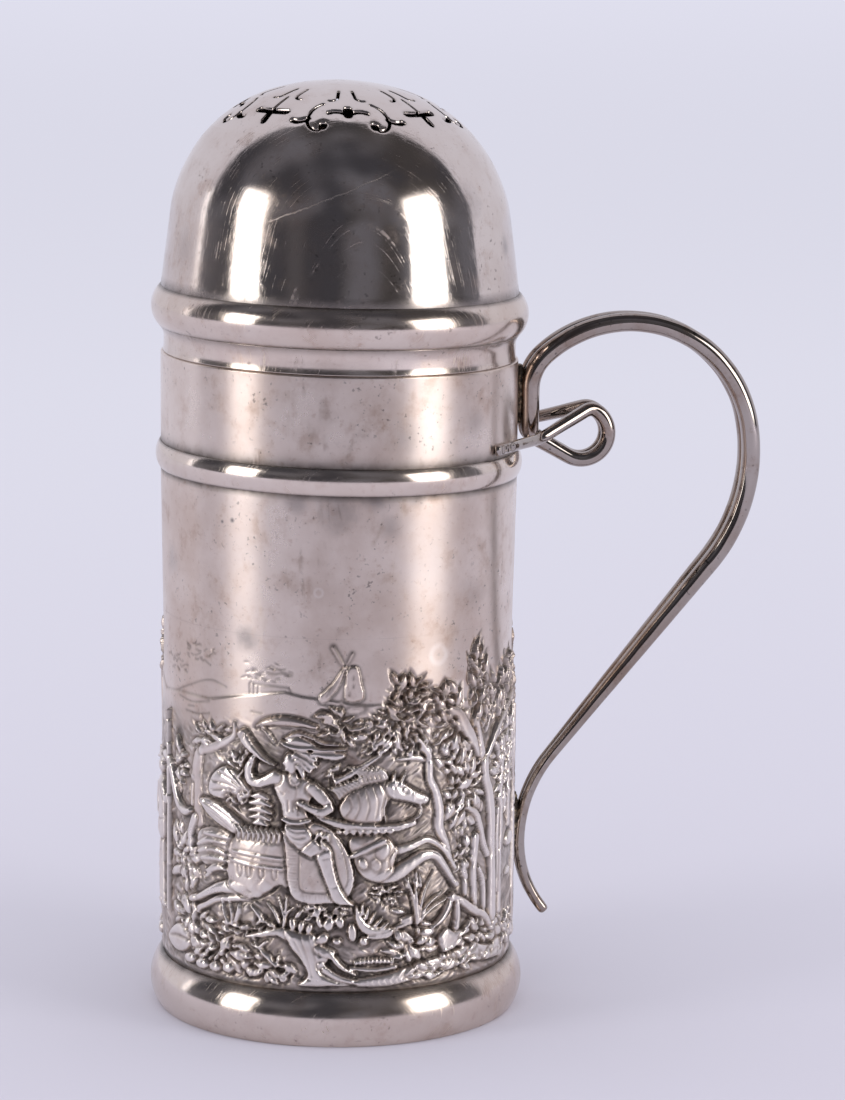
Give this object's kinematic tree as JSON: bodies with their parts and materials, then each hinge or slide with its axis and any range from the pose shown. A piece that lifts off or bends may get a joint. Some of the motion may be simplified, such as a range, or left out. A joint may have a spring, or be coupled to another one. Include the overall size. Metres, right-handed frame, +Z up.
{
  "type": "sugar caster",
  "caption": "Cylindrical silver sugar caster with a hunting scene in relief, a pierced domed pull-off lid and a twin-wire scroll handle.",
  "frame": {"origin": "centre of the foot's resting face, on the body's axis", "axes": "+Z up along the body's axis, +X from the axis towards the handle, +Y to the far side when the handle is on the right"},
  "size_m": [0.0701, 0.043, 0.1059],
  "materials": {
    "silver_body": "polished silver with brown tarnish in the hollows",
    "silver_lid": "polished silver with fine scratches",
    "silver_handle": "drawn silver wire, darker with tarnish",
    "solder": "rough dark hard solder"
  },
  "bodies": {
    "body": {"body_tube": "silver_body", "base_plate": "silver_body", "foot_ring": "silver_body", "body_girdle": "silver_body", "handle_wire_near": "silver_handle", "handle_wire_far": "silver_handle", "upper_solder": "solder", "lower_solder": "solder"},
    "lid": {"lid_dome": "silver_lid", "lid_moulding": "silver_lid", "lid_collar": "silver_lid", "lid_sleeve": "silver_lid"}
  },
  "joints": [
    {"name": "lid_lift", "type": "slide", "parent": "body", "child": "lid", "axis": [0, 0, 1], "range_m": [0, 0.035]}
  ]
}
